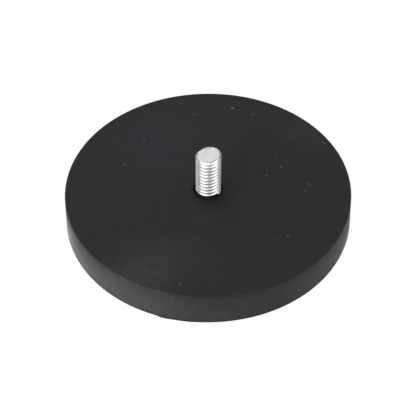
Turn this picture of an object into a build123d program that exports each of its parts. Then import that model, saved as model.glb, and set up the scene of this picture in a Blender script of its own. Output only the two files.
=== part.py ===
from build123d import *
from math import radians, tan
import os

# Rubber-coated pot magnet with a threaded stud.
#
# Neodymium discs sit in two rings under a steel back plate, neighbours with opposite poles. The
# plate closes their field behind them and carries the stud, whose head is pressed into its
# underside. One black rubber jacket is moulded round plate and discs together, so that only the
# threaded end of the stud stands out.
#
# Millimetres. The origin is the centre of the holding face, and +Z runs up along the stud.

os.makedirs("parts", exist_ok=True)

# Rubber jacket
JACKET_DIAMETER = 67.0  # at the holding face
JACKET_HEIGHT = 8.5
DRAFT_ANGLE = 0.9  # the wall leans in towards the top, to leave the mould
TOP_RIM_CHAMFER = 0.3
FOOT_RIM_CHAMFER = 0.35
HOLDING_SKIN = 1.0  # rubber between the discs and whatever they hold
RECESS_DIAMETER = 6.9  # ring-shaped well round the stud's foot
RECESS_DEPTH = 0.9
RECESS_LIP_CHAMFER = 0.15

# Land left where the moulding gate was trimmed off, at the foot of the wall
GATE_AZIMUTH = 253.0
GATE_LAND_RADIUS = 4.0
GATE_LAND_HEIGHT = 0.5
GATE_PROUD = 0.05

# Magnet discs
DISC_DIAMETER = 7.0
DISC_THICKNESS = 3.0
OUTER_RING_DIAMETER = 47.0
OUTER_RING_COUNT = 12
INNER_RING_DIAMETER = 26.0
INNER_RING_COUNT = 6

# Steel back plate
PLATE_DIAMETER = 60.0
PLATE_THICKNESS = 3.0

# Stud, M6
THREAD_DIAMETER = 5.85
NECK_DIAMETER = 4.8
NECK_LENGTH = 1.0  # from the top of the plate
STUD_STANDS_OUT = 11.5  # from the top of the jacket to the tip
TIP_CHAMFER = 0.55
ROOT_CHAMFER = 0.4
COLLAR_DIAMETER = 6.6  # the length that is pressed into the plate
HEAD_DIAMETER = 10.0
HEAD_THICKNESS = 1.2

# Heights that follow from the stack
disc_base = HOLDING_SKIN
plate_base = disc_base + DISC_THICKNESS
plate_top = plate_base + PLATE_THICKNESS
neck_top = plate_top + NECK_LENGTH
recess_floor = JACKET_HEIGHT - RECESS_DEPTH
stud_tip = JACKET_HEIGHT + STUD_STANDS_OUT


# Stud: turned in one piece, with a flat head, a press collar, a neck below the thread and a
# chamfered tip. The shank is drawn plain, at the thread's outside diameter.
with BuildPart() as threaded_stud:
    with BuildSketch(Plane.XZ) as stud_profile:
        with BuildLine():
            Polyline(
                (0, plate_base),
                (HEAD_DIAMETER / 2, plate_base),
                (HEAD_DIAMETER / 2, plate_base + HEAD_THICKNESS),
                (COLLAR_DIAMETER / 2, plate_base + HEAD_THICKNESS),
                (COLLAR_DIAMETER / 2, plate_top),
                (NECK_DIAMETER / 2, plate_top),
                (NECK_DIAMETER / 2, neck_top),
                (THREAD_DIAMETER / 2, neck_top + ROOT_CHAMFER),
                (THREAD_DIAMETER / 2, stud_tip - TIP_CHAMFER),
                (THREAD_DIAMETER / 2 - TIP_CHAMFER, stud_tip),
                (0, stud_tip),
                close=True,
            )
        make_face()
    revolve(axis=Axis.Z)


# Back plate: a blanked steel disc, drilled for the stud's collar and counterbored from below, so
# that the stud's head lies flush with the face that carries the discs.
with BuildPart() as plate_blank:
    with BuildSketch(Plane.XY.offset(plate_base)):
        Circle(PLATE_DIAMETER / 2)
    extrude(amount=PLATE_THICKNESS)

with BuildPart() as back_plate:
    add(plate_blank.part)
    with Locations(Location((0, 0, plate_base), (180, 0, 0))):
        CounterBoreHole(COLLAR_DIAMETER / 2, HEAD_DIAMETER / 2, HEAD_THICKNESS)


# Magnet discs: two rings, all held against the plate's underside.
magnet_rings = (
    ("outer_magnet", OUTER_RING_DIAMETER, OUTER_RING_COUNT),
    ("inner_magnet", INNER_RING_DIAMETER, INNER_RING_COUNT),
)
discs = []
for ring_name, ring_diameter, disc_count in magnet_rings:
    for number, place in enumerate(PolarLocations(ring_diameter / 2, disc_count), start=1):
        with BuildPart() as disc:
            with BuildSketch(Plane.XY.offset(disc_base)):
                with Locations(place):
                    Circle(DISC_DIAMETER / 2)
            extrude(amount=DISC_THICKNESS)
        disc.part.label = f"{ring_name}_{number:02d}"
        discs.append(disc.part)


# Jacket: one moulding. Its section is a drafted disc with softened rims. Round the foot of the stud
# the mould's sleeve leaves a well, and under it the rubber closes on the stud's neck. The rubber
# has flowed round the plate and every disc, so each of them leaves its own pocket inside.
wall_lean = JACKET_HEIGHT * tan(radians(DRAFT_ANGLE))
foot_corner = (JACKET_DIAMETER / 2, 0)
top_corner = (JACKET_DIAMETER / 2 - wall_lean, JACKET_HEIGHT)
lip_corner = (RECESS_DIAMETER / 2, JACKET_HEIGHT)

with BuildPart() as rubber_jacket:
    with BuildSketch(Plane.XZ) as jacket_section:
        with BuildLine():
            Polyline(
                (0, 0),
                foot_corner,
                top_corner,
                lip_corner,
                (RECESS_DIAMETER / 2, recess_floor),
                (NECK_DIAMETER / 2, recess_floor),
                (NECK_DIAMETER / 2, plate_top),
                (0, plate_top),
                close=True,
            )
        make_face()
        corners = jacket_section.vertices()
        chamfer(corners.sort_by_distance(foot_corner)[0], FOOT_RIM_CHAMFER)
        chamfer(corners.sort_by_distance(top_corner)[0], TOP_RIM_CHAMFER)
        chamfer(corners.sort_by_distance(lip_corner)[0], RECESS_LIP_CHAMFER)
    revolve(axis=Axis.Z)

    # The trimmed gate leaves a short stretch of the foot square.
    with BuildSketch():
        gate_reach = JACKET_DIAMETER / 2 + GATE_PROUD - GATE_LAND_RADIUS
        with PolarLocations(gate_reach, 1, start_angle=GATE_AZIMUTH):
            Circle(GATE_LAND_RADIUS)
    extrude(amount=GATE_LAND_HEIGHT)

    # Pockets
    add(plate_blank.part, mode=Mode.SUBTRACT)
    add(discs, mode=Mode.SUBTRACT)


rubber_jacket.part.label = "rubber_jacket"
back_plate.part.label = "back_plate"
threaded_stud.part.label = "threaded_stud"

for piece in [rubber_jacket.part, back_plate.part, threaded_stud.part, *discs]:
    export_step(piece, f"parts/{piece.label}.step")
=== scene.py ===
from math import cos, radians, sin, tan

import bmesh
import bpy
import numpy as np
from mathutils import Matrix, Vector


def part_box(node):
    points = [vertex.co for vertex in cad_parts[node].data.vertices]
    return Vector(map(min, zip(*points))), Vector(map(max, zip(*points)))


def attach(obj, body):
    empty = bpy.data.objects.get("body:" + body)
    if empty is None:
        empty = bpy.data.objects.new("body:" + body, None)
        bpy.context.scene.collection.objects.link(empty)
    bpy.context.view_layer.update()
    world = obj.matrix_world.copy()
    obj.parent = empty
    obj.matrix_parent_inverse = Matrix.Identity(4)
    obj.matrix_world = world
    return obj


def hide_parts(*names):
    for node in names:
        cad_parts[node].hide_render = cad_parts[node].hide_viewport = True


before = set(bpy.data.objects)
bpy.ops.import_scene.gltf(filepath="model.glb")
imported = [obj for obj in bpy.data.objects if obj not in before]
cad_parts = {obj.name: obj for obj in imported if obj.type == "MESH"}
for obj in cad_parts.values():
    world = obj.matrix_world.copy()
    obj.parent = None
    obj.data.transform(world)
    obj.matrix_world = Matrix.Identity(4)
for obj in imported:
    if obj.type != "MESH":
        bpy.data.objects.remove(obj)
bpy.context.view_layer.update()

# A rubber-coated pot magnet with a threaded stud, dressed for a studio picture.
#
# Shapes are worked out in millimetres, in the part's own frame: the origin is the centre of the
# holding face and +Z runs up along the stud. A mesh is scaled to metres when it is made.

MM = 0.001
TURN = 2 * np.pi

# Jacket
FOOT_RADIUS = 33.5
WALL_LEAN = tan(radians(0.9))
FOOT_ROUNDING = 0.4
TOP_ROUNDING = 0.2
RECESS_RADIUS = 3.45  # ring-shaped well round the stud's foot
RECESS_DEPTH = 0.9
LIP_ROUNDING = 0.15
RECESS_FILLET = 0.25

# Land where the moulding gate was trimmed off, at the foot of the wall
GATE_START = 249.0  # azimuth, degrees
GATE_SQUARE = 251.5  # the foot is square from here
GATE_END = 252.5
GATE_STEP = 257.0  # most of the rounding has come back here,
GATE_TAIL = 262.0  # stays so up to here,
GATE_FADE = 268.0  # and is whole again here
GATE_RETURN = 0.6  # share of the rounding that comes back by GATE_STEP
GATE_ROUNDING = 0.06
GATE_PROUD = 0.05
GATE_FLUSH_FROM = 0.3  # the land sinks into the wall between these heights
GATE_FLUSH = 1.2

# Stud, M6
PITCH = 1.0
CREST_RADIUS = 2.945
ROOT_RADIUS = 2.39
ROOT_ROUNDING = 0.08
CREST_FLAT = 0.05
FLANK_SLOPE = 1 / tan(radians(30))  # rise of the flank per length along the axis
CREST_HEIGHT = -0.12  # height over the jacket of the ridge's start
THREAD_START = 318.0  # azimuth at which the lowest ridge begins, degrees
START_FADE = 14.0  # degrees over which it rises
TIP_CHAMFER = 0.45
TIP_RADIUS = CREST_RADIUS - TIP_CHAMFER
TIP_FLARE = 1.5  # gain of the chamfer's radius per depth
TIP_SLOPE = 0.13  # the end is cut askew: its rise per length
TIP_HIGH_SIDE = 40.0  # azimuth of its highest point
TIP_DROP = 0.46  # of its middle, under the full height
NECK_RADIUS = 2.4
THREAD_LOW = 0.8  # depth under the jacket's top at which the plain neck ends
STUD_SHIFT = 0.06  # the stud stands this far towards +X
STUD_LEAN = 0.0085  # and leans the same way, per length above the plate
COLLAR_RADIUS = 3.3  # the length that is pressed into the plate
HEAD_THICKNESS = 1.2
HUB_MARGIN = 1.0  # width of the seat left plain round the stud's head

# Finish of the meshes
AROUND = 720  # points round the jacket
FOOT_STEPS = 10  # points along the roundings of the jacket's section
RIM_STEPS = 9
LIP_STEPS = 7
FILLET_STEPS = 6
TOP_STEPS = 12  # and along its flat top
WALL_SHARES = (0.04, 0.09, 0.16, 0.25, 0.37, 0.5, 0.63, 0.76, 0.88)  # heights of the wall's rows
SIDE_STEPS = 16  # points along the side of a disc's cell
THREAD_AROUND = 216
THREAD_ROWS = 24  # points along one pitch
TIP_BAND = 0.75  # length under the end that has level rows of its own
TIP_ROWS = 61


def levels():
    """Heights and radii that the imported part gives, in millimetres."""
    jacket_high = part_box("rubber_jacket")[1]
    plate_low, plate_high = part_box("back_plate")
    stud_low, stud_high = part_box("threaded_stud")
    head_radius = (stud_high.x - stud_low.x) / 2 / MM
    discs = {name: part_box(name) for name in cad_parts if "magnet" in name}
    disc_low = min(low.z for low, high in discs.values())
    centres = [((low.x + high.x) / 2, (low.y + high.y) / 2) for low, high in discs.values()]
    spread = [high.x - low.x for low, high in discs.values()]
    return {
        "top": jacket_high.z / MM,
        "plate_low": plate_low.z / MM,
        "plate_high": plate_high.z / MM,
        "plate_radius": (plate_high.x - plate_low.x) / 2 / MM,
        "disc_low": disc_low / MM,
        "disc_radius": max(spread) / 2 / MM,
        "disc_centres": np.array(centres) / MM,
        "head_radius": head_radius,
        "hub_radius": head_radius + HUB_MARGIN,
        "tip": stud_high.z / MM,
    }


level = levels()


# ---------------------------------------------------------------------------------- mesh tools


def smooth_step(x, low, high):
    """0 below low, 1 above high, and 3t^2 - 2t^3 between them."""
    t = np.clip((x - low) / (high - low), 0, 1)
    return t * t * (3 - 2 * t)


def line(start, end, steps):
    """Points evenly spaced on the straight line from start to end, both included."""
    return np.linspace(start, end, steps)


def arc(centre, radius, start, end, steps):
    """Points centre + radius (cos a, sin a), the angle a running evenly from start to end."""
    a = np.linspace(radians(start), radians(end), steps)
    return np.stack([centre[0] + radius * np.cos(a), centre[1] + radius * np.sin(a)], axis=1)


def turned(profile, azimuth):
    """A surface of revolution: the profile's point (r, z) carried round to (r cos a, r sin a, z).

    The profile is an array of points, or one such array for every azimuth.
    """
    profile = profile if profile.ndim == 3 else profile[:, None, :]
    x = profile[..., 0] * np.cos(azimuth)
    y = profile[..., 0] * np.sin(azimuth)
    z = np.broadcast_to(profile[..., 1], x.shape)
    return np.stack([x, y, z], axis=-1)


def ring_faces(rows, columns, first=0):
    """Quads of a grid of rows by columns whose last column meets its first."""
    row, column = np.meshgrid(np.arange(rows - 1), np.arange(columns), indexing="ij")
    beside = (column + 1) % columns
    quads = [row * columns + column, row * columns + beside]
    quads += [(row + 1) * columns + beside, (row + 1) * columns + column]
    return np.stack(quads, axis=-1).reshape(-1, 4) + first


def make_piece(name, grids, merge=1e-4, crease=35):
    """One mesh object from (points, faces) pairs in millimetres.

    Points closer than merge are joined, so that neighbouring grids share their edges and a grid
    row that has shrunk to a point becomes a pole.
    """
    points, faces, count = [], [], 0
    for grid_points, grid_faces in grids:
        flat = grid_points.reshape(-1, 3)
        points.append(flat)
        faces.append(grid_faces + count)
        count += len(flat)
    mesh = bpy.data.meshes.new(name)
    mesh.from_pydata(np.concatenate(points) * MM, [], np.concatenate(faces).tolist())
    work = bmesh.new()
    work.from_mesh(mesh)
    bmesh.ops.remove_doubles(work, verts=work.verts, dist=merge * MM)
    bmesh.ops.dissolve_degenerate(work, edges=work.edges, dist=merge * MM)
    bmesh.ops.recalc_face_normals(work, faces=work.faces)
    work.to_mesh(mesh)
    work.free()
    mesh.polygons.foreach_set("use_smooth", np.ones(len(mesh.polygons), bool))
    mesh.set_sharp_from_angle(angle=radians(crease))
    piece = bpy.data.objects.new(name, mesh)
    bpy.context.scene.collection.objects.link(piece)
    return piece


# -------------------------------------------------------------------------------------- jacket


def gate_share(azimuth):
    """1 on the trimmed gate, 0 away from it: a steep rise, a short flat and a fall in two steps."""
    degrees = np.degrees(azimuth) % 360
    rise = smooth_step(degrees, GATE_START, GATE_SQUARE)
    fall = GATE_RETURN * smooth_step(degrees, GATE_END, GATE_STEP)
    tail = (1 - GATE_RETURN) * smooth_step(degrees, GATE_TAIL, GATE_FADE)
    return rise * (1 - fall - tail)


def outer_skin(azimuth):
    """The jacket's outside, from the centre of the holding face round to the stud's neck.

    A flat foot, an arc into the leaning wall, an arc into the flat top, an arc over the lip of
    the recess, its wall, a fillet, its floor, and down along the neck to the plate. The foot's
    arc is tangent to the holding face and to the wall; its radius shrinks over the gate, where
    the wall also stands a little proud.
    """
    top = level["top"]
    lean = np.degrees(np.arctan(WALL_LEAN))
    slant = np.hypot(1, WALL_LEAN)
    gate = gate_share(azimuth)

    # Foot: one arc for every azimuth.
    rounding = FOOT_ROUNDING + (GATE_ROUNDING - FOOT_ROUNDING) * gate
    edge = FOOT_RADIUS + GATE_PROUD * gate
    centre = edge - rounding * (WALL_LEAN + slant)
    a = np.radians(np.linspace(-90, lean, FOOT_STEPS))[:, None]
    foot = np.stack([centre + rounding * np.cos(a), rounding + rounding * np.sin(a)], axis=-1)

    # Wall: straight rows from the foot's arc to the top's, the gate fading out on the way.
    top_centre = FOOT_RADIUS - (top - TOP_ROUNDING) * WALL_LEAN - TOP_ROUNDING * slant
    rim = arc((top_centre, top - TOP_ROUNDING), TOP_ROUNDING, lean, 90, RIM_STEPS)
    low_z = foot[-1, :, 1]
    height = low_z + (rim[0, 1] - low_z) * np.array(WALL_SHARES)[:, None]
    proud = GATE_PROUD * gate * (1 - smooth_step(height, GATE_FLUSH_FROM, GATE_FLUSH))
    wall = np.stack([FOOT_RADIUS - height * WALL_LEAN + proud, height], axis=-1)

    # Top and well: the flats' first and last rows keep a little off the roundings.
    lip_centre = (RECESS_RADIUS + LIP_ROUNDING, top - LIP_ROUNDING)
    floor = top - RECESS_DEPTH
    fillet_centre = (RECESS_RADIUS - RECESS_FILLET, floor + RECESS_FILLET)
    top_outer = top_centre - 0.8
    top_inner = lip_centre[0] + 0.6
    floor_outer = NECK_RADIUS + 0.3
    neck_start = floor - 0.2
    upper = np.concatenate([
        rim,
        line((top_outer, top), (top_inner, top), TOP_STEPS),
        arc(lip_centre, LIP_ROUNDING, 90, 180, LIP_STEPS),
        arc(fillet_centre, RECESS_FILLET, 0, -90, FILLET_STEPS),
        line((floor_outer, floor), (NECK_RADIUS, floor), 3),
        line((NECK_RADIUS, neck_start), (NECK_RADIUS, level["plate_high"]), 2),
    ])
    upper = np.repeat(upper[:, None, :], len(azimuth), axis=1)

    # Holding face: its centre, and one row in between.
    start = np.zeros_like(foot[:1])
    middle = foot[:1] * np.array([0.6, 1.0])
    return turned(np.concatenate([start, middle, foot, wall, upper]), azimuth)


def cavity_skin(azimuth):
    """The space round the plate: ceiling and side wall, turned from a square corner."""
    radius = level["plate_radius"]
    low, high = level["plate_low"], level["plate_high"]
    profile = np.concatenate([
        line((NECK_RADIUS, high), (radius, high), 6),
        line((radius, low + 1), (radius, low), 2),
    ])
    return turned(profile, azimuth)


def cell_rim(inner, outer, middle, half_angle, arc_steps, side_steps):
    """Points round a cell of a ring: its outer arc, one side in, its inner arc and out again.

    The cell lies between two radii and half_angle to either side of middle.
    """
    left, right = middle + half_angle, middle - half_angle
    along = np.linspace(right, left, arc_steps, endpoint=False)
    inward = np.linspace(outer, inner, side_steps, endpoint=False)
    back = np.linspace(left, right, arc_steps, endpoint=False)
    outward = np.linspace(inner, outer, side_steps, endpoint=False)
    r = np.concatenate([np.full(arc_steps, outer), inward, np.full(arc_steps, inner), outward])
    a = np.concatenate([along, np.full(side_steps, left), back, np.full(side_steps, right)])
    return np.stack([r * np.cos(a), r * np.sin(a)], axis=1)


def pocket_cell(centre, rim):
    """The plate's seat round one disc, and the pocket that the disc leaves.

    Every point of the rim is joined to the disc's edge in the same direction from the disc's
    centre; the pocket then goes straight down and closes on its floor.
    """
    away = rim - centre
    away = away / np.linalg.norm(away, axis=1, keepdims=True)
    edge = centre + away * level["disc_radius"]
    seat = [rim + (edge - rim) * share for share in (0.0, 0.5, 1.0)]
    floor = [centre + (edge - centre) * share for share in (1.0, 0.5, 0.0)]
    flat = np.array(seat + floor)
    heights = np.repeat([level["plate_low"], level["disc_low"]], 3)[:, None, None]
    return np.concatenate([flat, np.broadcast_to(heights, flat.shape[:2] + (1,))], axis=2)


def seat_grids():
    """The face that the discs hang from, cut into one cell for each disc, as wide as its ring.

    A cell's middle is rounded to a whole number of half angles, so that neighbours' sides and the
    grids inside and outside the ring share their points.
    """
    distance = np.hypot(*level["disc_centres"].T)
    between = (distance.min() + distance.max()) / 2
    rings = (
        (distance < between, level["hub_radius"], between),
        (distance >= between, between, level["plate_radius"]),
    )
    grids = []
    for in_ring, inner, outer in rings:
        centres = level["disc_centres"][in_ring]
        half_angle = np.pi / len(centres)
        arc_steps = AROUND // len(centres)
        for centre in centres:
            middle = np.round(np.arctan2(centre[1], centre[0]) / half_angle) * half_angle
            rim = cell_rim(inner, outer, middle, half_angle, arc_steps, SIDE_STEPS)
            points = pocket_cell(centre, rim)
            grids.append((points, ring_faces(*points.shape[:2])))
    return grids


def build_jacket():
    """The outside, the space round the plate, the seat round the stud's head, a flat ring turned
    from a level line, and the seats of the discs."""
    azimuth = np.arange(AROUND) * TURN / AROUND
    skin = outer_skin(azimuth)
    cavity = cavity_skin(azimuth)
    hub_line = line((level["hub_radius"], level["plate_low"]), (0, level["plate_low"]), 3)
    hub = turned(hub_line, azimuth)
    grids = [(grid, ring_faces(*grid.shape[:2])) for grid in (skin, cavity, hub)]
    return make_piece("jacket", grids + seat_grids())


# ---------------------------------------------------------------------------------------- stud


def tip_height(azimuth):
    """Height of the edge of the stud's end, a plane cut a little askew."""
    rise = TIP_SLOPE * TIP_RADIUS * np.cos(azimuth - radians(TIP_HIGH_SIDE))
    return level["tip"] - TIP_DROP + rise


def thread_radius(azimuth, z):
    """Radius of the threaded length at an azimuth in radians and a height.

    The ridge is a crest flat with straight flanks that run out into the core: over a depth d,
    from -w to w, the radius gains (d + w)^2 / 4w on the core. Its crest climbs one pitch a turn,
    it starts over a few degrees, and the tip's chamfer cuts it off above.
    """
    start = THREAD_START / 360
    turns = azimuth / TURN
    lowest = level["top"] + CREST_HEIGHT
    position = (z - lowest) / PITCH - (turns - start)
    ridge = np.round(position)
    off_crest = np.abs(position - ridge) * PITCH
    height = CREST_RADIUS - FLANK_SLOPE * np.maximum(off_crest - CREST_FLAT / 2, 0)
    depth = height - ROOT_RADIUS
    rounded = (np.clip(depth, -ROOT_ROUNDING, ROOT_ROUNDING) + ROOT_ROUNDING) ** 2
    gain = np.where(depth > ROOT_ROUNDING, depth, rounded / (4 * ROOT_ROUNDING))
    run = (ridge + turns - start) * 360
    present = smooth_step(run, 0, START_FADE)
    full = ROOT_RADIUS + gain * present
    return np.minimum(full, TIP_RADIUS + TIP_FLARE * (tip_height(azimuth) - z))


def thread_grid():
    """The threaded length up to the tip's band: rows climb one pitch a turn with the ridge and are
    held between the neck and the band, so the rows beyond either end fold into its edge."""
    low = level["top"] - THREAD_LOW
    column = np.arange(THREAD_AROUND)
    high = tip_height(column * TURN / THREAD_AROUND) - TIP_BAND
    rows = int(np.ceil((high.max() - low) / PITCH + 2)) * THREAD_ROWS
    azimuth = np.broadcast_to(column * TURN / THREAD_AROUND, (rows, THREAD_AROUND))
    climb = column / THREAD_AROUND + np.arange(rows)[:, None] / THREAD_ROWS - 1
    z = np.clip(low + PITCH * climb, low, high)
    r = thread_radius(azimuth, z)
    points = np.stack([r * np.cos(azimuth), r * np.sin(azimuth), z], axis=-1)

    row, side = np.meshgrid(np.arange(rows - 1), column, indexing="ij")
    wraps = side == THREAD_AROUND - 1
    beside = np.where(wraps, 0, side + 1)
    beside_row = np.where(wraps, row + THREAD_ROWS, row)
    quads = np.stack([
        row * THREAD_AROUND + side,
        beside_row * THREAD_AROUND + beside,
        (beside_row + 1) * THREAD_AROUND + beside,
        (row + 1) * THREAD_AROUND + side,
    ], axis=-1)
    return points, quads[beside_row + 1 < rows]


def tip_grid():
    """The band under the end, where the chamfer cuts the ridge: every row is a constant depth
    below the askew end."""
    azimuth = np.arange(THREAD_AROUND) * TURN / THREAD_AROUND
    z = tip_height(azimuth) - np.linspace(TIP_BAND, 0, TIP_ROWS)[:, None]
    azimuth = np.broadcast_to(azimuth, z.shape)
    r = thread_radius(azimuth, z)
    points = np.stack([r * np.cos(azimuth), r * np.sin(azimuth), z], axis=-1)
    return points, ring_faces(*z.shape)


def build_stud():
    """Head, collar and neck turned from one section, the thread, its band under the end, and the
    end itself, drawn in from its edge to its middle.

    Above the plate every point moves towards +X, by STUD_SHIFT and by STUD_LEAN times its height.
    """
    azimuth = np.arange(THREAD_AROUND) * TURN / THREAD_AROUND
    neck_low, neck_high = level["plate_high"], level["top"] - THREAD_LOW
    head_low, head_high = level["plate_low"], level["plate_low"] + HEAD_THICKNESS
    head_radius = level["head_radius"]
    below = np.concatenate([
        line((0, head_low), (head_radius, head_low), 3),
        line((head_radius, head_high), (COLLAR_RADIUS, head_high), 2),
        line((COLLAR_RADIUS, neck_low), (NECK_RADIUS, neck_low), 2),
        line((NECK_RADIUS, (neck_low + neck_high) / 2), (ROOT_RADIUS, neck_high), 2),
    ])
    shank = turned(below, azimuth)
    shares = np.array([1.0, 0.5, 0.0])[:, None]
    edge = tip_height(azimuth)
    middle = level["tip"] - TIP_DROP
    reach = shares * thread_radius(azimuth, edge)
    rise = middle + shares * (edge - middle)
    end = np.stack([reach * np.cos(azimuth), reach * np.sin(azimuth), rise], axis=-1)
    grids = [(grid, ring_faces(*grid.shape[:2])) for grid in (shank, end)]
    grids += [thread_grid(), tip_grid()]
    for points, _ in grids:
        above = np.maximum(points[..., 2] - level["plate_high"], 0)
        points[..., 0] += STUD_SHIFT * smooth_step(above, 0, THREAD_LOW) + STUD_LEAN * above
    return make_piece("stud", grids, crease=40)


# ----------------------------------------------------------------------------------- materials


class Signal:
    """One output of a shader's node. Sums, differences and products of signals and numbers
    become Math nodes."""

    def __init__(self, tree, socket):
        self.tree = tree
        self.socket = socket

    def _math(self, operation, *terms):
        return self.tree.node("ShaderNodeMath", {"operation": operation}, dict(enumerate(terms)))

    def __add__(self, other):
        return self._math("ADD", self, other)

    def __radd__(self, other):
        return self._math("ADD", other, self)

    def __sub__(self, other):
        return self._math("SUBTRACT", self, other)

    def __rsub__(self, other):
        return self._math("SUBTRACT", other, self)

    def __mul__(self, other):
        return self._math("MULTIPLY", self, other)

    def __rmul__(self, other):
        return self._math("MULTIPLY", other, self)


class Shader:
    """A node tree, and the few kinds of node that the finishes here are made of."""

    def __init__(self, owner):
        owner.use_nodes = True
        self.nodes = owner.node_tree.nodes
        self.links = owner.node_tree.links
        self.nodes.clear()

    def node(self, kind, settings=None, inputs=None, output=0):
        """Adds a node: its settings first, then its sockets' values and links."""
        made = self.nodes.new(kind)
        for name, value in (settings or {}).items():
            setattr(made, name, value)
        for key, value in (inputs or {}).items():
            if isinstance(value, Signal):
                self.links.new(value.socket, made.inputs[key])
            else:
                made.inputs[key].default_value = value
        return Signal(self, made.outputs[output])

    def place(self):
        """The point on the object, in millimetres."""
        coordinates = self.node("ShaderNodeTexCoord", output="Object")
        scale = (1 / MM, 1 / MM, 1 / MM)
        return self.vector("MULTIPLY", coordinates, scale)

    def vector(self, operation, first, second):
        """A Vector Math node on two vectors."""
        terms = {0: first, 1: second}
        return self.node("ShaderNodeVectorMath", {"operation": operation}, terms)

    def length(self, vector):
        """How long a vector is."""
        return self.node("ShaderNodeVectorMath", {"operation": "LENGTH"}, {0: vector}, "Value")

    def from_axis(self, point):
        """Distance of the point from the stud's axis."""
        return self.length(self.vector("MULTIPLY", point, (1.0, 1.0, 0.0)))

    def axes(self, point):
        """The three coordinates of a point."""
        split = self.node("ShaderNodeSeparateXYZ", None, {0: point})
        outputs = split.socket.node.outputs
        return [Signal(self, outputs[axis]) for axis in "XYZ"]

    def noise(self, point, size, detail=3.0, roughness=0.5):
        """Fractal noise, 0 to 1, whose lumps are about size millimetres wide."""
        inputs = {"Vector": point, "Scale": 1 / size, "Detail": detail, "Roughness": roughness}
        return self.node("ShaderNodeTexNoise", None, inputs)

    def ramp(self, value, low, high, start=0.0, end=1.0):
        """A smooth rise from start to end as value goes from low to high, flat beyond."""
        inputs = {"Value": value, "From Min": low, "From Max": high, "To Min": start, "To Max": end}
        return self.node("ShaderNodeMapRange", {"interpolation_type": "SMOOTHSTEP"}, inputs)

    def blend(self, share, first, second):
        """The colour first, going over to second as share goes from 0 to 1."""
        settings = {"data_type": "RGBA"}
        return self.node("ShaderNodeMix", settings, {0: share, 6: first, 7: second}, output=2)

    def blot(self, point, centre, reach):
        """1 at the centre, falling to 0 where the ellipsoid with these half-axes ends."""
        offset = self.vector("SUBTRACT", point, centre)
        scaled = self.vector("DIVIDE", offset, reach)
        return self.ramp(self.length(scaled), 0.0, 1.0, 1.0, 0.0)

    def bump(self, height, depth, normal=None):
        """Relief: height, 0 to 1, over a depth in millimetres."""
        inputs = {"Height": height, "Strength": 1.0, "Distance": depth * MM}
        if normal is not None:
            inputs["Normal"] = normal
        return self.node("ShaderNodeBump", None, inputs)

    def surface(self, shader):
        """Makes a shader the material's surface."""
        target = self.nodes.new("ShaderNodeOutputMaterial")
        self.links.new(shader.socket, target.inputs["Surface"])

    def finish(self, color, rough, relief, **constants):
        """The surface of a piece. Colour, roughness and relief vary over it, the rest doesn't."""
        inputs = {"Base Color": color, "Roughness": rough, "Normal": relief, **constants}
        self.surface(self.node("ShaderNodeBsdfPrincipled", None, inputs))


def new_material(name):
    """A material and the shader that it is drawn with."""
    material = bpy.data.materials.new(name)
    return material, Shader(material)


def grey(value, tint=(1.0, 1.0, 1.0)):
    """An opaque colour of one brightness, leaning to a tint."""
    return (value * tint[0], value * tint[1], value * tint[2], 1.0)


# Rubber: where its finish changes, in millimetres
WALL_END = 8.1  # the wall's finish goes over to the top's between these heights
TOP_START = 8.45
WELL_RIM = 5.0  # and to the well's between these distances from the axis
WELL_INSIDE = 4.0
WORN_HIGHLIGHT_RADII = (33.08, 33.18)  # the rubbed edge with its painted highlight begins and is whole at these
WORN_HIGHLIGHT_HEIGHTS = (8.18, 8.32)

# Rubber: its brightness, as shares of white
BARE = 0.0030
BARE_BROAD = 0.0030  # swing over broad clouds
BARE_CLOUD = 0.0120  # and over small ones
PAINTED_WELL_SHADE = -0.0030  # painted shade in the well
BARE_LEAST = 0.0005
PAINTED_BLUE_SHEEN = (0.60, 0.94, 1.50, 1.0)  # painted bluish reflection on the top at the left
PLAIN = (0.92, 1.0, 1.02, 1.0)  # and of the rest
DUST_STROKES = 0.004  # what faint strokes of dust add to it
DUST_RUNS = 0.012  # runs down the wall
WELL_FAR_LIGHTER = 0.013  # what the well's far wall is made lighter by
WORN_HIGHLIGHT_EDGE = 0.045  # the rubbed top edge, with its painted highlight
DUST_CRUMBS = 0.035  # scattered crumbs

# Rubber: its roughness
ROUGH_FOOT = 0.19  # of the wall, at its foot
ROUGH_RISE = 0.040  # per millimetre of height
ROUGH_TOP = 0.16  # what the top adds to that
ROUGH_WELL = 0.25  # and the well
ROUGH_CLOUD = 0.12  # swing over small clouds
ROUGH_BROAD = 0.08  # and over broad ones

# Pale nicks and crumbs on the rubber: place, reach and how much they lighten it.
SPECKS = (
    ((6.1, 27.8, 8.5), 0.55, 0.130),
    ((11.2, 25.9, 8.5), 0.70, 0.050),
    ((-3.2, 25.7, 8.5), 0.45, 0.050),
    ((-6.5, 29.7, 8.5), 0.55, 0.050),
    ((-15.4, 17.0, 8.5), 0.60, 0.045),
    ((-19.7, 8.4, 8.5), 0.60, 0.045),
    ((17.2, 7.1, 8.5), 0.50, 0.115),
    ((16.3, 10.1, 8.5), 0.50, 0.055),
    ((13.8, 4.4, 8.5), 0.60, 0.070),
    ((23.7, 1.4, 8.5), 0.55, 0.070),
    ((22.8, -0.9, 8.5), 0.45, 0.060),
    ((18.0, -15.2, 8.5), 0.45, 0.095),
    ((15.0, -16.1, 8.5), 0.50, 0.050),
    ((-6.2, -29.5, 8.5), 0.60, 0.050),
    ((28.0, 15.5, 8.5), 0.60, 0.045),
    ((28.0, -17.7, 8.5), 0.50, 0.035),
    ((-5.0, 1.6, 8.5), 0.55, 0.045),
    ((1.0, -5.3, 8.5), 0.45, 0.045),
    ((-26.0, -21.1, 2.5), 0.80, 0.025),
    ((-21.1, -25.9, 5.3), 0.60, 0.035),
    ((-19.4, -27.2, 8.2), 0.60, 0.035),
    ((-18.0, -28.2, 4.9), 0.75, 0.030),
    ((-15.9, -29.4, 8.2), 0.80, 0.040),
    ((-11.4, -31.4, 8.2), 0.90, 0.030),
)
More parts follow.
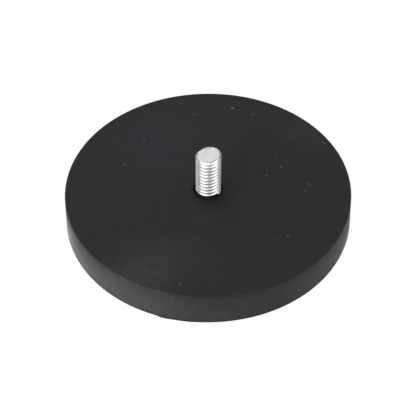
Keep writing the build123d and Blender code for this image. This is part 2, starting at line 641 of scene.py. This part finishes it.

# Painted light on the rubber: centre, half-axes and what each adds or takes away. First a painted
# sheen at the back left of the top, then three rows of painted shadow cast by the stud to its
# right, then painted shade over the right of the top.
PAINTED_SHADE_AND_SHEEN = (
    ((-10.0, 16.0, 8.5), (26.0, 24.0, 6.0), 0.0040),
    ((4.6, 0.5, 8.5), (3.5, 4.5, 3.0), -0.0060),
    ((8.5, 6.0, 8.5), (6.5, 8.0, 3.0), -0.0060),
    ((11.5, 11.0, 8.5), (9.0, 10.0, 3.0), -0.0040),
    ((19.0, -4.0, 8.5), (22.0, 34.0, 6.0), -0.0022),
)

# Broad lighter places, partly dust and partly painted light: centre, half-axes and how much they
# lighten it. On the top at the front left and back right, and in front of the stud, they are
# painted sheen. On the left and front-left wall they are dust with painted light from the left.
DUST_AND_SHEEN_PLACES = (
    ((25.0, 20.0, 8.5), (11.0, 9.0, 6.0), 0.0060),
    ((-16.0, -26.5, 8.5), (13.0, 7.5, 6.0), 0.0120),
    ((-11.0, -20.5, 8.5), (16.0, 10.0, 6.0), 0.0085),
    ((-1.0, -8.5, 8.5), (6.0, 6.0, 3.0), 0.0055),
    ((-17.0, -30.0, 4.0), (20.0, 12.0, 7.0), 0.0190),
    ((-28.0, -18.0, 1.5), (8.0, 12.0, 4.0), 0.0080),
    ((-28.2, -18.0, 2.9), (2.5, 3.0, 2.0), 0.0200),
)


def black_rubber():
    """Moulded rubber: near black, a soft sheen, fine grain, dust in it and pale nicks, and painted
    shade and sheen laid on its colour.

    The wall has more gloss than the top, most of it near the foot, and its top edge is rubbed, with
    a painted highlight.
    The well round the stud has painted shade and is duller, and its far wall is made a little
    lighter.
    """
    material, shader = new_material("black_rubber")
    point = shader.place()
    x, y, z = shader.axes(point)
    from_axis = shader.from_axis(point)
    on_top = shader.ramp(z, WALL_END, TOP_START)
    in_well = (1.0 - on_top) * shader.ramp(from_axis, WELL_RIM, WELL_INSIDE)
    on_wall = 1.0 - on_top - in_well

    broad = shader.noise(point, 16.0, 2.0)
    cloud = shader.noise(point, 2.4, 4.0, 0.6)
    grain = shader.noise(point, 0.35, 3.0, 0.6)
    strokes = shader.noise(shader.vector("MULTIPLY", point, (0.12, 1.6, 1.0)), 1.3, 3.0, 0.6)
    runs = shader.noise(shader.vector("MULTIPLY", point, (1.0, 1.0, 0.5)), 2.2, 3.0, 0.6)

    # The rubber itself, cloudy, with painted light laid on it: painted shade in the well, the
    # stud's painted shadow, painted shade and sheen over the top, and a painted bluish reflection
    # at the left of the top.
    bare_with_painted_light = BARE + BARE_BROAD * (broad - 0.5) + BARE_CLOUD * (cloud - 0.5) + PAINTED_WELL_SHADE * in_well
    for centre, reach, gain in PAINTED_SHADE_AND_SHEEN:
        bare_with_painted_light = bare_with_painted_light + shader.blot(point, centre, reach) * gain
    bare_with_painted_light = shader.node("ShaderNodeMath", {"operation": "MAXIMUM"}, {0: bare_with_painted_light, 1: BARE_LEAST})
    # plain: share of the plain tint; the rest is the painted bluish reflection
    plain = (shader.ramp(x, -14.0, 10.0) + 2.0 * (cloud - 0.5)) * on_top + on_wall
    tint = shader.blend(plain, PAINTED_BLUE_SHEEN, PLAIN)
    tinted_with_painted_light = shader.node("ShaderNodeVectorMath", {"operation": "SCALE"}, {0: tint, "Scale": bare_with_painted_light})

    # Dust: faint strokes and runs down the wall, the runs fading to the right as painted shade. The
    # well's far wall is made lighter. Then the broad lighter places, partly dust and partly painted
    # sheen.
    runs_with_painted_shade = shader.ramp(runs, 0.42, 0.72) * shader.ramp(x, 10.0, 28.0, 1.0, 0.3)
    dust_and_painted_light = DUST_STROKES * shader.ramp(strokes, 0.62, 0.74)
    dust_and_painted_light = dust_and_painted_light + DUST_RUNS * runs_with_painted_shade * on_wall
    dust_and_painted_light = dust_and_painted_light + WELL_FAR_LIGHTER * in_well * shader.ramp(y, 0.0, 1.0)
    for centre, reach, gain in DUST_AND_SHEEN_PLACES:
        dust_and_painted_light = dust_and_painted_light + shader.blot(point, centre, reach) * gain * (0.4 + 1.2 * cloud)

    # Wear and a painted highlight: the rubbed top edge, which also carries a painted highlight,
    # mostly at the left; scattered crumbs and the nicks.
    worn_highlight_edge = shader.ramp(from_axis, *WORN_HIGHLIGHT_RADII) * shader.ramp(z, *WORN_HIGHLIGHT_HEIGHTS)
    dust_and_painted_light = dust_and_painted_light + WORN_HIGHLIGHT_EDGE * worn_highlight_edge * shader.ramp(x, 12.0, -12.0, 0.15, 1.0) * cloud
    wobble = shader.node("ShaderNodeTexNoise", None, {"Vector": point, "Scale": 1.8}, "Color")
    centred = shader.vector("SUBTRACT", wobble, (0.5, 0.5, 0.5))
    ragged = shader.vector("ADD", point, shader.vector("MULTIPLY", centred, (2.0, 2.0, 2.0)))
    cells = {"Vector": ragged, "Scale": 0.42}
    crumbs = shader.node("ShaderNodeTexVoronoi", {"feature": "F1"}, cells, "Distance")
    dust_and_painted_light = dust_and_painted_light + DUST_CRUMBS * shader.ramp(crumbs, 0.12, 0.03)
    for centre, reach, gain in SPECKS:
        dust_and_painted_light = dust_and_painted_light + shader.blot(ragged, centre, (reach, reach, reach)) * gain
    color = shader.vector("ADD", tinted_with_painted_light, dust_and_painted_light)

    rough = ROUGH_FOOT + ROUGH_RISE * z + ROUGH_TOP * on_top + ROUGH_WELL * in_well
    rough = rough + ROUGH_CLOUD * (cloud - 0.5) + ROUGH_BROAD * (broad - 0.5)
    fine = shader.bump(grain, 0.012)
    relief = shader.bump(cloud, 0.03, fine)
    shader.finish(color, rough, relief, IOR=1.5)
    return material


# Metals
ZINC_DULL = grey(0.75, (1.0, 1.0, 0.985))
ZINC_BRIGHT = grey(0.85, (1.0, 1.0, 0.985))
STEEL = grey(0.46, (1.0, 0.99, 0.97))
STEEL_STAIN = grey(0.33, (1.0, 0.97, 0.93))
NICKEL_DULL = grey(0.62, (1.0, 0.97, 0.92))
NICKEL_BRIGHT = grey(0.72, (1.0, 0.975, 0.93))


def bright_zinc():
    """Zinc plate over rolled steel: bright, with faint drawing marks round the axis."""
    material, shader = new_material("bright_zinc")
    point = shader.place()
    cloud = shader.noise(point, 1.6, 4.0, 0.6)
    stretched = shader.vector("MULTIPLY", point, (0.35, 0.35, 6.0))
    marks = shader.noise(stretched, 0.8, 3.0, 0.6)
    color = shader.blend(shader.ramp(cloud, 0.3, 0.7), ZINC_DULL, ZINC_BRIGHT)
    rough = 0.17 + 0.10 * cloud + 0.05 * marks
    relief = shader.bump(marks, 0.006)
    shader.finish(color, rough, relief, Metallic=1.0)
    return material


def plain_steel():
    """Blanked sheet steel: rolled one way, dull, with darker stains."""
    material, shader = new_material("plain_steel")
    point = shader.place()
    rolled = shader.vector("MULTIPLY", point, (0.08, 2.0, 1.0))
    streaks = shader.noise(rolled, 0.6, 4.0, 0.6)
    stain = shader.noise(point, 7.0, 4.0, 0.55)
    color = shader.blend(shader.ramp(stain, 0.35, 0.7), STEEL, STEEL_STAIN)
    rough = 0.32 + 0.14 * streaks + 0.08 * stain
    relief = shader.bump(streaks, 0.008)
    shader.finish(color, rough, relief, Metallic=1.0)
    return material


def nickel_plate():
    """Nickel over a pressed magnet: warm and bright, with a slight orange peel."""
    material, shader = new_material("nickel_plate")
    point = shader.place()
    peel = shader.noise(point, 0.25, 2.0)
    haze = shader.noise(point, 3.0, 3.0)
    color = shader.blend(haze, NICKEL_DULL, NICKEL_BRIGHT)
    rough = 0.16 + 0.14 * haze
    relief = shader.bump(peel, 0.004)
    shader.finish(color, rough, relief, Metallic=1.0)
    return material


def dress(piece, material):
    """Gives a piece one finish all over."""
    piece.data.materials.clear()
    piece.data.materials.append(material)


# -------------------------------------------------------------------------------------- pieces

jacket = build_jacket()
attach(jacket, "root")
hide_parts("rubber_jacket")
dress(jacket, black_rubber())

stud = build_stud()
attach(stud, "root")
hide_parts("threaded_stud")
dress(stud, bright_zinc())

steel = plain_steel()
nickel = nickel_plate()
for name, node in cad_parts.items():
    finish = nickel if "magnet" in name else steel
    for slot in node.material_slots:
        slot.material = finish


# --------------------------------------------------------------------------- floor, lamps, camera

FLOOR_HALF = 1.5  # metres
FLOOR_DROP = 0.02  # millimetres under the holding face
FLOOR_WHITE = 0.85
FLOOR_GLOW = 0.97  # share of plain white in what the camera sees of the floor
GLOW_START = 0.7  # mirror rays see plain white from this far beside the foot, in millimetres
GLOW_LEFT = -20.0  # all of it up to here along X
GLOW_RIGHT = 22.0  # and the least of it from here on
GLOW_LEAST = 0.05
GLOW_DIP = 0.35  # what it loses in a patch at the front left of the foot
GLOW_DIP_CENTRE = (-32.0, -15.0, 0.0)
GLOW_DIP_REACH = (8.0, 10.0, 5.0)


def build_floor():
    """A wide pale floor.

    Camera and glass rays see it almost wholly as plain white. Mirror rays see the white begin
    beside the foot and fall off from left to right. The rest of what they see is the lit floor,
    which keeps the object's shadow.
    """
    mesh = bpy.data.meshes.new("floor")
    corners = np.array([(-1, -1, 0), (1, -1, 0), (1, 1, 0), (-1, 1, 0)], float) * FLOOR_HALF
    corners[:, 2] = -FLOOR_DROP * MM
    mesh.from_pydata(corners, [], [(0, 1, 2, 3)])
    floor = bpy.data.objects.new("floor", mesh)
    bpy.context.scene.collection.objects.link(floor)

    material, shader = new_material("floor_white")
    rays = shader.node("ShaderNodeLightPath")
    outputs = rays.socket.node.outputs
    seen = Signal(shader, outputs["Is Camera Ray"])
    seen_through = Signal(shader, outputs["Is Transmission Ray"])
    mirrored = Signal(shader, outputs["Is Glossy Ray"])
    point = shader.place()
    beside = shader.ramp(shader.from_axis(point), FOOT_RADIUS, FOOT_RADIUS + GLOW_START)
    glow = shader.ramp(shader.axes(point)[0], GLOW_LEFT, GLOW_RIGHT, 1.0, GLOW_LEAST)
    glow = glow - GLOW_DIP * shader.blot(point, GLOW_DIP_CENTRE, GLOW_DIP_REACH)
    share = (seen + seen_through) * FLOOR_GLOW + mirrored * beside * glow
    lit = shader.node("ShaderNodeBsdfDiffuse", None, {"Color": grey(FLOOR_WHITE)})
    white = shader.node("ShaderNodeEmission", None, {"Color": grey(1.0), "Strength": 1.0})
    surface = shader.node("ShaderNodeMixShader", None, {0: share, 1: lit, 2: white})
    shader.surface(surface)
    dress(floor, material)


# Lamps: soft boxes round the object, and a plain room behind them
ROOM_RADIANCE = 0.32
LAMP_DISTANCE = 1.0  # metres
SOFT_BOXES = (
    # name, azimuth and elevation in degrees, width and depth in metres, radiance
    ("left_high", 210, 66, 0.66, 0.38, 1.10),
    ("left_wide", 203, 55, 0.84, 0.76, 0.88),
    ("left_front", 226, 30, 0.80, 0.36, 1.40),
    ("left_low", 138, 9, 0.50, 0.26, 0.40),
    ("right_high", 330, 67.5, 0.64, 0.38, 1.35),
    ("right_wide", 352, 54, 0.68, 0.70, 0.44),
    ("right_front", 336, 28, 0.56, 0.30, 1.10),
    ("front_box", 270, 56, 0.44, 0.62, 0.30),
    ("back_box", 104, 50, 1.30, 1.00, 0.55),
)


def build_world():
    """The room that the metal mirrors between the lamps: one plain grey."""
    world = bpy.data.worlds.new("studio")
    bpy.context.scene.world = world
    world.use_nodes = True
    background = world.node_tree.nodes["Background"]
    background.inputs["Color"].default_value = grey(1.0)
    background.inputs["Strength"].default_value = ROOM_RADIANCE


def soft_box(name, azimuth, elevation, width, depth, radiance):
    """A rectangular lamp facing the object. One of power P shows a radiance of P / (area pi)."""
    lamp = bpy.data.lights.new(name, "AREA")
    lamp.shape = "RECTANGLE"
    lamp.size = width
    lamp.size_y = depth
    lamp.energy = radiance * width * depth * np.pi
    holder = bpy.data.objects.new(name, lamp)
    a, e = radians(azimuth), radians(elevation)
    towards = Vector((cos(e) * cos(a), cos(e) * sin(a), sin(e)))
    turn = towards.to_track_quat("Z", "Y").to_matrix().to_4x4()
    holder.matrix_world = Matrix.Translation(towards * LAMP_DISTANCE) @ turn
    bpy.context.scene.collection.objects.link(holder)


# Camera: it looks down at the disc from the front, a little turned about its own axis.
LENS = 140.66  # millimetres, as the sensor
SENSOR = 36.0
CAMERA_DISTANCE = 375.0  # millimetres from the aim
CAMERA_ELEVATION = radians(46.038)
CAMERA_ROLL = radians(-0.349)
CAMERA_AIM = (-0.029, -6.058, 8.5)


def build_camera():
    """The camera stands in front of its aim and above it. The picture's right is the level right,
    turned by the roll about the line from the aim to the camera."""
    back = Vector((0, -cos(CAMERA_ELEVATION), sin(CAMERA_ELEVATION)))
    level_right = Vector((1, 0, 0))
    level_up = back.cross(level_right)
    right = level_right * cos(CAMERA_ROLL) + level_up * sin(CAMERA_ROLL)
    up = back.cross(right)
    data = bpy.data.cameras.new("camera")
    data.lens = LENS
    data.sensor_width = SENSOR
    camera = bpy.data.objects.new("camera", data)
    turn = Matrix((right, up, back)).transposed().to_4x4()
    place = (Vector(CAMERA_AIM) + back * CAMERA_DISTANCE) * MM
    camera.matrix_world = Matrix.Translation(place) @ turn
    bpy.context.scene.collection.objects.link(camera)
    bpy.context.scene.camera = camera


build_floor()
build_world()
for setting in SOFT_BOXES:
    soft_box(*setting)
build_camera()
bpy.context.scene.view_settings.view_transform = "Standard"
